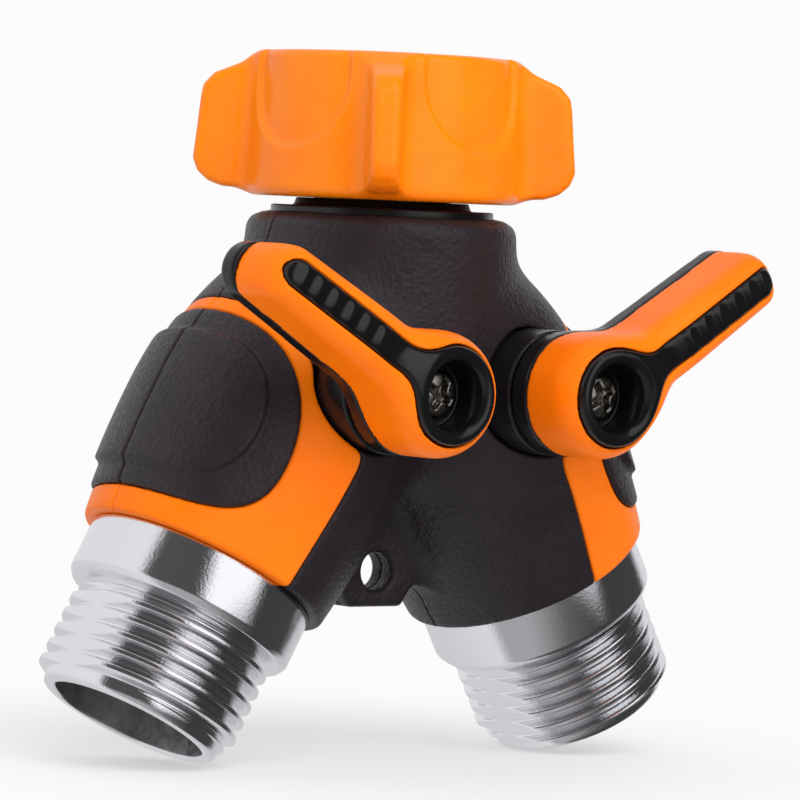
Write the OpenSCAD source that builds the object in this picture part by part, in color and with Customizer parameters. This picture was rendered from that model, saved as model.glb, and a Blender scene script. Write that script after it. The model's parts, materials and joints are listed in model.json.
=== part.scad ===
// Two-way Y hose splitter: a swivel inlet nut, a die-cast body under a two-part
// cover, and a quarter-turn ball valve with a lever on each outlet.
// Frame: +Z runs up the inlet axis, -Y is the lever side, and the origin is the
// centre of the inlet nut's mouth.

/* [Inlet nut] */
// Height of the nut
nut_height = 18.9; // [18.7:0.1:19]
// Radius of the nut's round body at its foot
nut_r = 18; // [17.8:0.1:18.4]
// Reach of each wing from the inlet axis
wing_reach = 25; // [23:0.5:27]
// Thickness of each wing at its tip
wing_thickness = 3.6; // [3:0.2:5]
// Turn of the wings about the inlet axis
wing_turn = -38; // [-45:1:45]
// Number of wings
wing_count = 4; // [3:1:4]

/* [Hose thread] */
// Pitch of the 3/4 inch hose thread
thread_pitch = 2.209; // [2.2:0.001:2.22]
// Crest radius of the outer thread on the outlets
male_crest_r = 13.49; // [13.3:0.01:13.5]
// Root radius of the outer thread on the outlets
male_root_r = 12.06; // [11.9:0.01:12.3]
// Crest radius of the inner thread in the nut
female_crest_r = 12.45; // [12.4:0.01:12.6]
// Root radius of the inner thread in the nut
female_root_r = 13.6; // [13.55:0.05:13.7]

/* [Body] */
// Half of the angle between the two outlets
leg_angle = 29; // [28:0.5:30]
// Drop from the origin to the point where the outlet axes meet
wye_drop = 18.8; // [18.6:0.1:19]
// Distance from that point to each ball's centre
ball_distance = 27.5; // [27.3:0.1:28]
// Distance from that point to each outlet's end
outlet_end = 77; // [76.5:0.5:78]
// Radius of the collar above each outlet thread
collar_r = 15.2; // [15:0.1:15.3]
// Radius of each outlet's bore
outlet_bore_r = 10.25; // [10:0.05:10.4]

/* [Valves] */
// Radius of the valve ball
ball_r = 7.5; // [7.3:0.1:7.6]
// Radius of the port through the ball
port_r = 5; // [4.6:0.1:5]
// Radius of the valve stem
stem_r = 3.6; // [3.6:0.05:3.7]

/* [Cover] */
// Radius of the cover's neck
neck_r = 17.5; // [17.3:0.1:17.8]
// Largest radius of the cover around each outlet
belly_r = 17.8; // [17.6:0.1:18]
// Wall thickness of the cover
cover_wall = 2.4; // [2.2:0.1:2.5]
// Thickness of the hanging tab between the outlets
tab_thickness = 5; // [4.6:0.2:6]
// Radius of the hole in the hanging tab
tab_hole_r = 2.5; // [2:0.1:2.8]

/* [Levers] */
// Radius of the lever's hub
hub_r = 8; // [7.8:0.1:8.1]
// Distance from the parting plane to the front of the hub
hub_front = 33.6; // [33.4:0.1:34]
// Reach of the lever from its axis to its tip
lever_reach = 32.6; // [31.6:0.2:33.6]
// Half of the lever arm's width at its tip
arm_tip_half = 3.7; // [3.4:0.1:3.9]
// Half of the lever arm's width where it leaves the hub
arm_root_half = 4.5; // [4.2:0.1:4.8]
// Turn of the left and right levers past square to their legs when shut
lever_overtravel = [1, 3.5]; // [0:0.5:4]

/* [Hidden] */

$fn = 96;

LEFT = -1;
RIGHT = 1;
FRONT = -1;
REAR = 1;

slip = 0.08;          // running clearance of a shaft in its hole
fit_gap = 0.05;       // clearance between pieces that are fastened together
over = 1;             // how far a cutting solid runs past the face it cuts

// Inlet stack, as heights on the inlet axis
nut_top_r = nut_r - 0.6;
nut_floor = -15.35;
insert_r = 14.6;
insert_top = -0.15;
first_ridge = -0.5;
nut_ridges = 5;
flange_r = 12;
flange_top = -13.3;
flange_foot = -15;
tube_r = 9;
tube_bore_r = 6.5;
washer_top = -10.8;
ring_top = -19.2;
ring_step = -19.95;
ring_foot = -21.45;
ring_neck_r = 11.25;
ring_r = 14.55;
tailpiece_foot = -27;
seal_height = -23.4;
seal_wire = 0.7;

// Body casting, as distances along a leg unless they are radii
cast_neck_r = 12.8;
cast_arm_r = 8.6;
cast_leg_r = 11;
cast_socket_r = 13.25;
passage_start = 8.5;
arm_end = 17.5;
inlet_seat_start = 19.9;
chamber_r = 8;
chamber_end = 35.4;
nose_r = 8.8;
nose_bore_r = 5.8;
nose_bore_end = 43.5;
shank_r = 11.65;
socket_start = 41;
socket_wall_start = 39;
collar_start = 55.4;
collar_end = 62.9;
last_ridge = 73.4;
outlet_ridges = 5;
collar_chamfer = 0.9;
crest_land = 0.6;
ridge_foot = 1.7;
end_chamfer = 1.1;

// Stem line, as distances forward from the ball's centre
boss_r = 6.05;
boss_front = 20.8;
shoulder_r = 4.55;
shoulder_start = 8.3;
shoulder_end = 10.2;
square_start = 21.4;
square_end = 27;
square_side = 5;
stem_ring_places = [13, 16.5];
stem_ring_wire = 0.52;
gland_r = 8.15;
gland_start = 15.5;
gland_front = 21.2;
stop_start = 19.9;
stop_r0 = 6.5;
stop_r1 = 7.5;
stop_angle = 200;     // where the stop lug sits round the hub with the valve shut
stop_half = 7;
stop_play = 6;        // how far the slot for the stop lug runs past the shut lever
stop_turn = 98;       // angle over which the slot runs, besides the lug itself

// Lever, as distances forward from the ball's centre
plate_back = 21.6;
arm_back = 22.1;
plate_front = 24.7;
pocket_floor = 28.8;
pocket_r = 4.4;
face_r = 6.4;
face_front = 33.9;
face_back = 27.2;
hub_round = 2.6;
arm_front = 33.7;
tip_length = 4.2;
tip_depth = 6.5;
strip_half_width = 1.9;
strip_reach = 29.2;
strip_depth = 1.7;
screw_r = 1.5;
screw_head_r = 3.2;
screw_head_height = 1.8;

// Cover
belly_place = 37;
belly_core = 2;
belly_up = 30;
belly_down = 48;
cover_start = 10;
cover_end = 55.3;
lip_start = 50.5;
cover_top = -21.5;
neck_straight = -36;
neck_low = -57;
neck_round = 1.9;
panel_depth = 1.2;
grip_depth = 0.6;
grip_rise = 0.45;
grip_step = 0.8;
tab_hole_height = -67.3;
tab_foot = -72;
screw_heights = [-49.5, -61];
screw_seats = [11, 1.4];
screw_ends = [-8, -1.9];
screw_boss_r = 2.6;
cover_screw_r = 1.1;
cover_head_r = 2;
cover_head_height = 1.2;

// ---------------------------------------------------------------- placing

// Places a child built along +Z on the axis of one leg, with +X outward
module on_leg(side)
    mirror([side == RIGHT ? 1 : 0, 0, 0])
        translate([0, 0, -wye_drop])
            rotate([0, 180 + leg_angle, 0])
                children();

// Places a child built along +Z on the stem of one leg: +Z forward, +X outward
// along the lever and +Y down the leg
module on_stem(side)
    on_leg(side)
        translate([0, 0, ball_distance])
            rotate([90, 0, 0])
                children();

// Places a child built as for on_stem() on a shut lever, a little past square to its leg
module on_lever(side)
    on_stem(side)
        rotate([0, 0, -lever_overtravel[side == RIGHT ? 1 : 0]])
            children();

// A tube or a disc between two heights
module ring(outer, inner, low, high)
    translate([0, 0, low])
        difference() {
            cylinder(r = outer, h = high - low);
            translate([0, 0, -over])
                cylinder(r = inner, h = high - low + 2 * over);
        }

module disc(radius, low, high)
    translate([0, 0, low])
        cylinder(r = radius, h = high - low);

module torus(centre_r, wire_r, height)
    translate([0, 0, height])
        rotate_extrude()
            translate([centre_r, 0])
                circle(r = wire_r, $fn = 32);

// Half space in front of or behind the parting plane
module half(face)
    translate([-100, face == FRONT ? -100 : 0, -120])
        cube([200, 100, 140]);

// ---------------------------------------------------------------- inlet

module wing_outline()
    polygon([
        [nut_r - 3, -0.8], [nut_r - 0.4, -1.2], [wing_reach - 2.4, -3],
        [wing_reach - 1.1, -4], [wing_reach - 0.7, -5.5], [wing_reach - 0.4, -10],
        [wing_reach, -14.4], [wing_reach - 0.4, -16], [wing_reach - 1.8, -17.4],
        [wing_reach - 4, -18.2], [nut_r - 3, -nut_height + 0.3]
    ]);

module wings()
    for (i = [0 : wing_count - 1])
        rotate([0, 0, wing_turn - 90 + i * 360 / wing_count])
            rotate([90, 0, 0])
                linear_extrude(wing_thickness, center = true)
                    wing_outline();

// Shallow U-shaped hollows between the wings, open at the top
module scallops() {
    scallop_half = 9.5;
    scallop_foot = -12.9;
    scallop_r = nut_r - 0.9;
    intersection() {
        ring(nut_r + over, scallop_r, scallop_foot - over, over);
        for (i = [0 : wing_count - 1])
            rotate([0, 0, wing_turn - 90 + (i + 0.5) * 360 / wing_count])
                translate([nut_r - 4, 0, 0])
                    rotate([90, 0, 90])
                        linear_extrude(8)
                            union() {
                                translate([0, scallop_foot + scallop_half])
                                    circle(r = scallop_half);
                                translate([-scallop_half, scallop_foot + scallop_half])
                                    square([2 * scallop_half, 20]);
                            }
    }
}

module nut_shell()
    color("darkorange")
        difference() {
            union() {
                difference() {
                    rotate_extrude()
                        polygon([
                            [0, -nut_height], [nut_r - 0.7, -nut_height],
                            [nut_r, -nut_height + 0.9], [nut_top_r + 0.1, -1],
                            [nut_top_r - 0.3, -0.3], [nut_top_r - 1, 0], [0, 0]
                        ]);
                    scallops();
                }
                wings();
            }
            disc(insert_r, nut_floor, over);
            disc(tube_r + slip, -nut_height - over, nut_floor + over);
        }

// One ring of thread with a flat crest, whose foot sinks into the wall by an amount
module ridge_ring(crest, root, sink, centre)
    rotate_extrude()
        polygon([
            [root + sink, centre - ridge_foot / 2], [root, centre - ridge_foot / 2],
            [crest, centre - crest_land / 2], [crest, centre + crest_land / 2],
            [root, centre + ridge_foot / 2], [root + sink, centre + ridge_foot / 2]
        ]);

module nut_thread_insert()
    color("dimgray")
        intersection() {
            union() {
                ring(insert_r - fit_gap, female_root_r, nut_floor + fit_gap, insert_top);
                for (i = [0 : nut_ridges - 1])
                    ridge_ring(female_crest_r, female_root_r, 0.3,
                               first_ridge - i * thread_pitch);
            }
            disc(insert_r, nut_floor, insert_top);
        }

module inlet_tailpiece()
    color("silver")
        difference() {
            union() {
                disc(flange_r, flange_foot, flange_top);
                disc(tube_r, tailpiece_foot, flange_top);
            }
            disc(tube_bore_r, tailpiece_foot - over, flange_top + over);
            translate([0, 0, seal_height])
                rotate_extrude()
                    translate([tube_r, 0])
                        square([2.9, 1.9], center = true);
        }

module tailpiece_seal()
    color("black")
        torus(tube_r - seal_wire - 0.02, seal_wire - 0.02, seal_height);

module hose_washer()
    color("#303030")
        ring(flange_r + 0.1, tube_bore_r + 0.7, flange_top, washer_top);

// Disc of square meshes that lies on the washer
module inlet_screen() {
    screen_r = 10.2;
    screen_thickness = 0.5;
    mesh_hole = 1.5;
    mesh_step = 2.3;
    mesh_rows = 3;
    color("silver")
        translate([0, 0, washer_top])
            linear_extrude(screen_thickness)
                difference() {
                    circle(r = screen_r);
                    for (i = [-mesh_rows : mesh_rows], j = [-mesh_rows : mesh_rows])
                        if (norm([i, j]) * mesh_step < screen_r - 3.4)
                            translate([i * mesh_step, j * mesh_step])
                                square(mesh_hole, center = true);
                }
}

module top_ring()
    color("#202020")
        difference() {
            union() {
                disc(ring_r, ring_foot, ring_step);
                disc(ring_neck_r, ring_foot, ring_top);
            }
            disc(tube_r + fit_gap, ring_foot - over, ring_top + over);
        }

// ---------------------------------------------------------------- body

module cast_leg_bores() {
    disc(port_r, passage_start, inlet_seat_start + over);
    disc(chamber_r, inlet_seat_start, chamber_end + over);
    disc(nose_r, chamber_end, socket_start + over);
    disc(shank_r, socket_start, collar_start + over);
}

module valve_body()
    color("#c8c8cc")
        difference() {
            union() {
                disc(cast_neck_r, -32, ring_foot - fit_gap);
                for (side = [LEFT, RIGHT]) {
                    on_leg(side) disc(cast_arm_r, passage_start, arm_end + over);
                    on_leg(side) disc(cast_leg_r, arm_end, socket_start);
                    on_leg(side) disc(cast_socket_r, socket_wall_start, collar_start - fit_gap);
                    on_stem(side) disc(boss_r, 2, boss_front);
                }
            }
            disc(tube_r + fit_gap, tailpiece_foot - 0.2, ring_foot + over);
            disc(tube_bore_r, -31, tailpiece_foot + over);
            for (side = [LEFT, RIGHT]) {
                on_leg(side) cast_leg_bores();
                on_stem(side) disc(stem_r + slip, 0, boss_front + over);
                on_stem(side) disc(shoulder_r + slip, 0, shoulder_end + slip);
            }
        }

module gland_ring(side)
    color("#1c1c1c")
        on_stem(side)
            difference() {
                union() {
                    ring(gland_r, boss_r + fit_gap, gland_start, gland_front);
                    ring(boss_r + over, stem_r + 2 * slip, boss_front + fit_gap, gland_front);
                }
                rotate([0, 0, stop_angle - stop_half - stop_play])
                    rotate_extrude(angle = stop_turn + 2 * stop_half)
                        translate([stop_r0 - 0.2, stop_start - 0.3])
                            square([stop_r1 - stop_r0 + 0.4, gland_front - stop_start + over]);
            }

module ball_seat(side, low, high)
    color("white")
        on_leg(side)
            difference() {
                ring(chamber_r - fit_gap, port_r + 0.1, low, high);
                translate([0, 0, ball_distance])
                    sphere(r = ball_r + slip);
            }

module inlet_seat(side)
    ball_seat(side, inlet_seat_start + fit_gap, ball_distance - 3.6);

module outlet_seat(side)
    ball_seat(side, ball_distance + 3.6, chamber_end - fit_gap);

module outlet_thread()
    for (i = [0 : outlet_ridges - 1])
        ridge_ring(male_crest_r, male_root_r, -0.3, last_ridge - i * thread_pitch);

// Nozzle that screws into the leg up to its collar and presses the seat on the ball
module nozzle(side) {
    end_r = male_root_r - 0.4;
    color("#c8c8cc")
        on_leg(side)
            difference() {
                union() {
                    disc(nose_r - fit_gap, chamber_end + fit_gap, socket_start + 1);
                    disc(shank_r - fit_gap, socket_start + fit_gap, collar_start + 1);
                    disc(collar_r, collar_start, collar_end - collar_chamfer);
                    translate([0, 0, collar_end - collar_chamfer])
                        cylinder(r1 = collar_r, r2 = collar_r - 0.6, h = collar_chamfer);
                    disc(male_root_r, collar_end - 1, outlet_end - end_chamfer);
                    translate([0, 0, outlet_end - end_chamfer])
                        cylinder(r1 = male_root_r, r2 = end_r, h = end_chamfer);
                    outlet_thread();
                }
                disc(nose_bore_r, chamber_end - over, nose_bore_end + over);
                disc(outlet_bore_r, nose_bore_end, outlet_end + over);
            }
}

// ---------------------------------------------------------------- valve

module ball(side) {
    slot_width = 3;
    slot_depth = 2;
    color("lightgray")
        on_lever(side)
            difference() {
                sphere(r = ball_r);
                rotate([0, 90, 0])
                    translate([0, 0, -ball_r - over])
                        cylinder(r = port_r, h = 2 * (ball_r + over));
                translate([-slot_width / 2, -ball_r, ball_r - slot_depth])
                    cube([slot_width, 2 * ball_r, slot_depth + over]);
            }
}

module stem(side) {
    tang_width = 2.9;
    tang_length = 6.6;
    tang_start = 5.6;
    color("goldenrod")
        on_lever(side)
            difference() {
                union() {
                    translate([-tang_width / 2, -tang_length / 2, tang_start])
                        cube([tang_width, tang_length, shoulder_start - tang_start + 0.1]);
                    disc(shoulder_r, shoulder_start, shoulder_end);
                    disc(stem_r, shoulder_start, square_start);
                    translate([-square_side / 2, -square_side / 2, square_start - 0.1])
                        cube([square_side, square_side, square_end - square_start + 0.1]);
                }
                for (place = stem_ring_places)
                    ring(stem_r + over, stem_r - 2 * stem_ring_wire, place - 0.7, place + 0.7);
                disc(screw_r + fit_gap, 18, square_end + over);
            }
}

module stem_rings(side)
    color("black")
        on_lever(side)
            for (place = stem_ring_places)
                torus(stem_r + 0.04 - stem_ring_wire, stem_ring_wire, place);

// ---------------------------------------------------------------- lever

// Outline of a hub and an arm with a round tip, seen from the front
module lever_outline(hub, root_half, tip_half, reach) {
    tip_place = reach - tip_half;
    circle(r = hub);
    polygon([[0, -root_half], [tip_place, -tip_half], [tip_place, tip_half], [0, root_half]]);
    translate([tip_place, 0])
        circle(r = tip_half);
}

module square_hole(low, high)
    translate([-square_side / 2 - fit_gap, -square_side / 2 - fit_gap, low])
        cube([square_side + 2 * fit_gap, square_side + 2 * fit_gap, high - low]);

module lever_plate(side)
    color("#202020")
        on_lever(side) {
            difference() {
                union() {
                    disc(hub_r + 0.1, plate_back, plate_front - fit_gap);
                    translate([0, 0, arm_back])
                        linear_extrude(plate_front - fit_gap - arm_back)
                            lever_outline(hub_r, arm_root_half, arm_tip_half, lever_reach);
                    rotate([0, 0, stop_angle - stop_half])
                        rotate_extrude(angle = 2 * stop_half)
                            translate([stop_r0, stop_start])
                                square([stop_r1 - stop_r0, plate_back - stop_start + 0.1]);
                }
                square_hole(plate_back - over, plate_front + over);
            }
        }

// Side view of the arm in front of its plate, with an elliptic tip
module arm_side_view() {
    steps = 8;
    polygon(concat(
        [[0, plate_front], [lever_reach, plate_front]],
        [for (i = [0 : steps])
            let (a = i * 90 / steps)
                [lever_reach - tip_length * (1 - cos(a)), arm_front - tip_depth * (1 - sin(a))]],
        [[0, arm_front]]
    ));
}

// Hub in front of its plate, with a rounded front edge
module lever_hub() {
    steps = 6;
    rotate_extrude()
        polygon(concat(
            [[0, plate_front], [hub_r, plate_front]],
            [for (i = [0 : steps])
                let (a = i * 90 / steps)
                    [hub_r - hub_round * (1 - cos(a)), hub_front - hub_round * (1 - sin(a))]],
            [[0, hub_front]]
        ));
}

module lever_shell(side)
    color("darkorange")
        on_lever(side)
            difference() {
                union() {
                    lever_hub();
                    intersection() {
                        translate([0, 0, plate_front])
                            linear_extrude(arm_front - plate_front)
                                lever_outline(1, arm_root_half, arm_tip_half, lever_reach);
                        rotate([90, 0, 0])
                            linear_extrude(4 * hub_r, center = true)
                                arm_side_view();
                    }
                }
                square_hole(plate_front - over, face_back + over);
                disc(face_r + fit_gap, face_back - fit_gap, arm_front + over);
                translate([0, 0, arm_front - strip_depth - fit_gap])
                    linear_extrude(2 * strip_depth)
                        strip_outline(fit_gap);
            }

module strip_outline(gap = 0)
    lever_outline(1, strip_half_width + gap, strip_half_width + gap, strip_reach + gap);

// Glossy strip with finger ridges and a round face with a pocket for the screw
module lever_insert(side) {
    ridge_count = 5;
    ridge_first = 14;
    ridge_step = 2.9;
    ridge_r = 0.8;
    ridge_width = 2 * strip_half_width - 0.8;
    rim_round = 0.9;
    color("#151515")
        on_lever(side)
            difference() {
                union() {
                    disc(face_r, face_back, face_front);
                    translate([0, 0, arm_front - strip_depth])
                        linear_extrude(strip_depth + 0.1)
                            strip_outline();
                    for (i = [0 : ridge_count - 1])
                        translate([ridge_first + i * ridge_step, 0, arm_front - 0.4])
                            rotate([90, 0, 0])
                                cylinder(r = ridge_r, h = ridge_width, center = true, $fn = 24);
                }
                disc(pocket_r, pocket_floor, face_front + over);
                translate([0, 0, face_front - rim_round])
                    cylinder(r1 = pocket_r, r2 = pocket_r + rim_round, h = rim_round);
                disc(screw_r + 0.3, face_back - over, pocket_floor + over);
            }
}

// Pan-head screw with a cross recess
module lever_screw(side) {
    screw_start = 19;
    recess_length = 3.6;
    recess_width = 0.8;
    recess_depth = 1.2;
    head_top = pocket_floor + screw_head_height;
    color("silver")
        on_lever(side)
            difference() {
                union() {
                    disc(screw_r, screw_start, pocket_floor + 0.1);
                    disc(screw_head_r, pocket_floor, head_top - 0.5);
                    translate([0, 0, head_top - 0.5])
                        cylinder(r1 = screw_head_r, r2 = screw_head_r - 0.7, h = 0.5);
                }
                for (a = [0, 90])
                    rotate([0, 0, a])
                        translate([-recess_length / 2, -recess_width / 2, head_top - recess_depth])
                            cube([recess_length, recess_width, recess_depth + over]);
            }
}

// ---------------------------------------------------------------- cover

// Radius of the cover at a distance along the leg: an ellipse with a long foot
function cover_r(l) =
    let (reach = l < belly_place ? belly_up : belly_down)
        belly_core + (belly_r - belly_core) * sqrt(1 - pow((l - belly_place) / reach, 2));

// Barrel around one leg, grown or shrunk by an amount, between two distances
module barrel(grow, low, high) {
    steps = 14;
    rotate_extrude()
        polygon(concat(
            [[0, low]],
            [for (i = [0 : steps])
                let (l = low + (high - low) * i / steps)
                    [cover_r(l) + grow, l]],
            [[0, high]]
        ));
}

// Turned neck with a rounded top edge, which runs down into the saddle
module neck_solid(grow, top, edge) {
    steps = 8;
    rotate_extrude()
        polygon(concat(
            [[0, top]],
            [for (i = [0 : steps / 2])
                let (a = 90 - i * 180 / steps)
                    [neck_r + grow - edge * (1 - cos(a)), top - edge * (1 - sin(a))]],
            [for (i = [0 : steps - 1])
                let (a = i * 90 / steps)
                    [(neck_r + grow) * cos(a),
                     neck_straight - (neck_straight - neck_low + grow) * sin(a)]],
            [[0, neck_low - grow]]
        ));
}

module tab_solid()
    rotate([90, 0, 0])
        linear_extrude(tab_thickness, center = true)
            polygon([
                [-4.6, tab_foot], [4.6, tab_foot], [6.2, tab_foot + 2.6], [9.6, tab_foot + 3.6],
                [12, tab_foot + 8], [0, -48], [-12, tab_foot + 8], [-9.6, tab_foot + 3.6],
                [-6.2, tab_foot + 2.6]
            ]);

module cover_cavity() {
    neck_solid(-cover_wall, cover_top - 2.5, 0.5);
    disc(cast_neck_r + fit_gap, cover_top - 3, cover_top + over);
    for (side = [LEFT, RIGHT])
        on_leg(side) {
            barrel(-cover_wall, cover_start, lip_start);
            disc(cast_socket_r + fit_gap, lip_start - over, collar_start + over);
        }
}

// Side panel's outline on one leg: x runs outward and y down the leg
module panel_outline(gap = 0) {
    panel_inner = -1.7;
    panel_outer = 28;
    panel_low = cover_end + 2 * over;
    slope_start = 15.7;
    slope_top = 35.7;
    panel_top = 23.7;
    difference() {
        polygon([
            [panel_inner - gap, panel_low], [panel_inner - gap, slope_top - gap],
            [slope_start, panel_top - gap], [panel_outer, panel_top - gap], [panel_outer, panel_low]
        ]);
        translate([0, ball_distance])
            circle(r = gland_r + 0.2 - gap);
    }
}

// Grip outline: an ellipse above its centre and a squarer curve below it
module grip_outline(half_width, up, down, centre, square_up, square_down) {
    steps = 10;
    edge = 18;
    beyond = 26;
    polygon(concat(
        [[beyond, centre - up]],
        [for (i = [0 : steps])
            let (a = 90 - i * 90 / steps)
                [edge - half_width * pow(cos(a), 2 / square_up),
                 centre - up * pow(sin(a), 2 / square_up)]],
        [for (i = [1 : steps])
            let (a = i * 90 / steps)
                [edge - half_width * pow(cos(a), 2 / square_down),
                 centre + down * pow(sin(a), 2 / square_down)]],
        [[beyond, centre + down]]
    ));
}

module grip_field(gap = 0)
    grip_outline(11.6 + gap, 16.3 + gap, 9.5 + gap, 42.5, 1.9, 2.7);

module grip_centre()
    grip_outline(6.5, 10.5, 8.6, 40.4, 2, 2.2);

// An outline drawn along the leg, extruded through the whole cover
module outline_prism()
    rotate([90, 0, 0])
        linear_extrude(60, center = true)
            children();

module side_panel(side, face)
    color("darkorange")
        intersection() {
            on_leg(side)
                difference() {
                    intersection() {
                        barrel(0, cover_start, cover_end - fit_gap);
                        outline_prism() panel_outline();
                    }
                    barrel(-panel_depth + fit_gap, cover_start - over, cover_end + over);
                    difference() {
                        outline_prism() grip_field();
                        barrel(-grip_depth, cover_start - over, cover_end + over);
                    }
                }
            half(face);
        }

module side_grip(side, face)
    color("#2a2a2c")
        intersection() {
            on_leg(side) {
                difference() {
                    intersection() {
                        barrel(grip_rise, cover_start, cover_end);
                        outline_prism() grip_field(-fit_gap);
                    }
                    barrel(-grip_depth + fit_gap, cover_start - over, cover_end + over);
                }
                difference() {
                    intersection() {
                        barrel(grip_rise + grip_step, cover_start, cover_end);
                        outline_prism() grip_centre();
                    }
                    barrel(grip_rise - 0.2, cover_start - over, cover_end + over);
                }
            }
            half(face);
        }

// Ribs and shell of both cover halves in one piece, before they are cut apart
module cover_solid() {
    difference() {
        union() {
            neck_solid(0, cover_top, neck_round);
            for (side = [LEFT, RIGHT])
                on_leg(side) barrel(0, cover_start, cover_end);
        }
        cover_cavity();
        for (side = [LEFT, RIGHT])
            on_leg(side)
                difference() {
                    outline_prism() panel_outline(fit_gap);
                    barrel(-panel_depth, cover_start - over, cover_end + over);
                }
    }
    tab_solid();
    translate([0, 0, screw_heights[0]])
        rotate([90, 0, 0])
            cylinder(r = screw_boss_r, h = 2 * screw_seats[0], center = true);
}

// Cylinder along Y between a back and a front face
module cross_disc(radius, height, back, front)
    translate([0, back, height])
        rotate([90, 0, 0])
            cylinder(r = radius, h = back - front);

module cover_half(face)
    difference() {
        intersection() {
            cover_solid();
            half(face);
        }
        for (side = [LEFT, RIGHT])
            on_leg(side) disc(cast_socket_r + fit_gap, socket_wall_start - fit_gap, collar_start + over);
        cross_disc(tab_hole_r, tab_hole_height, tab_thickness, -tab_thickness);
        for (i = [0, 1]) {
            cross_disc(cover_screw_r + fit_gap, screw_heights[i],
                       screw_seats[i] + over, screw_ends[i] - 0.3);
            cross_disc(cover_head_r + fit_gap, screw_heights[i],
                       screw_seats[i] + 8, screw_seats[i]);
        }
        if (face == FRONT)
            for (side = [LEFT, RIGHT])
                on_stem(side) {
                    disc(gland_r + fit_gap, gland_start - fit_gap, gland_front + over);
                    disc(boss_r + fit_gap, 0, gland_start);
                }
    }

module front_cover()
    color("#262628") cover_half(FRONT);

module rear_cover()
    color("#262628") cover_half(REAR);

// Two screws from the rear that hold the cover halves together
module cover_screws()
    color("silver")
        for (i = [0, 1])
            difference() {
                union() {
                    cross_disc(cover_screw_r, screw_heights[i], screw_seats[i] + 0.1, screw_ends[i]);
                    cross_disc(cover_head_r, screw_heights[i],
                               screw_seats[i] + cover_head_height, screw_seats[i]);
                }
                for (a = [0, 90])
                    translate([0, screw_seats[i] + cover_head_height, screw_heights[i]])
                        rotate([0, a, 0])
                            cube([0.5, 1.2, 2.6], center = true);
            }

nut_shell();
nut_thread_insert();
inlet_tailpiece();
tailpiece_seal();
hose_washer();
inlet_screen();
top_ring();
valve_body();
front_cover();
rear_cover();
cover_screws();
side_panel(LEFT, FRONT);  // left_front_panel
side_panel(RIGHT, FRONT);  // right_front_panel
side_panel(LEFT, REAR);  // left_rear_panel
side_panel(RIGHT, REAR);  // right_rear_panel
side_grip(LEFT, FRONT);  // left_front_grip
side_grip(RIGHT, FRONT);  // right_front_grip
side_grip(LEFT, REAR);  // left_rear_grip
side_grip(RIGHT, REAR);  // right_rear_grip
gland_ring(LEFT);  // left_gland_ring
gland_ring(RIGHT);  // right_gland_ring
inlet_seat(LEFT);  // left_inlet_seat
inlet_seat(RIGHT);  // right_inlet_seat
outlet_seat(LEFT);  // left_outlet_seat
outlet_seat(RIGHT);  // right_outlet_seat
nozzle(LEFT);  // left_nozzle
nozzle(RIGHT);  // right_nozzle
ball(LEFT);  // left_ball
ball(RIGHT);  // right_ball
stem(LEFT);  // left_stem
stem(RIGHT);  // right_stem
stem_rings(LEFT);  // left_stem_rings
stem_rings(RIGHT);  // right_stem_rings
lever_plate(LEFT);  // left_lever_plate
lever_plate(RIGHT);  // right_lever_plate
lever_shell(LEFT);  // left_lever_shell
lever_shell(RIGHT);  // right_lever_shell
lever_insert(LEFT);  // left_lever_insert
lever_insert(RIGHT);  // right_lever_insert
lever_screw(LEFT);  // left_lever_screw
lever_screw(RIGHT);  // right_lever_screw
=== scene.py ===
"""Looks of the two-way hose splitter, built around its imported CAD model.

Shapes are worked out in millimetres in the CAD frame and become metres when a mesh is made.
A moulded piece is a signed distance field turned into a quad mesh, and a turned piece is a
lathed profile. The right-hand pieces are mirror images of the left-hand ones.
"""
import json
import math

import bpy
import numpy as np

from mathutils import Matrix, Vector


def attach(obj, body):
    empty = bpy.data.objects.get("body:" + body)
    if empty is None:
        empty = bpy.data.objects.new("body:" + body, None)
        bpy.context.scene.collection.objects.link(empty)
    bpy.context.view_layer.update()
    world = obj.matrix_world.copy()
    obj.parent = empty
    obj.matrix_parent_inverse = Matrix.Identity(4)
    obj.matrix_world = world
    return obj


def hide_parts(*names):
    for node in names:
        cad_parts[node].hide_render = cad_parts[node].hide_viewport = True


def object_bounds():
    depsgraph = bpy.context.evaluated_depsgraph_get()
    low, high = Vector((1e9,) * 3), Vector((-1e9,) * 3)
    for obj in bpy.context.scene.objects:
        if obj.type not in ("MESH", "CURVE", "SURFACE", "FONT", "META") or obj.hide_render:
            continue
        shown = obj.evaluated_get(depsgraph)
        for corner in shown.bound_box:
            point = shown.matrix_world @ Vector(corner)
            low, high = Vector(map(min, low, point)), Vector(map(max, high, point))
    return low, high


MM = 0.001
LEFT, RIGHT = -1, 1
FRONT, REAR = -1, 1
SIDES = {"left": LEFT, "right": RIGHT}

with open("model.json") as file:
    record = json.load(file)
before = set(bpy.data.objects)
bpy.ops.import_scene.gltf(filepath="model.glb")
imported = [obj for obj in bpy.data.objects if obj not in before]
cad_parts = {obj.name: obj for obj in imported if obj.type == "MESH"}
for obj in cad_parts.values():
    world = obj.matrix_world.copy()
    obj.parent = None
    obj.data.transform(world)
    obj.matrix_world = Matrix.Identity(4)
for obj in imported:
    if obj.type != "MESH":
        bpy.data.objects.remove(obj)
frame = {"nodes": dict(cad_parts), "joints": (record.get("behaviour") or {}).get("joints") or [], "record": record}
cad_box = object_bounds()
record = frame["record"]

# ------------------------------------------------------------------ sizes, in millimetres

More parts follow.
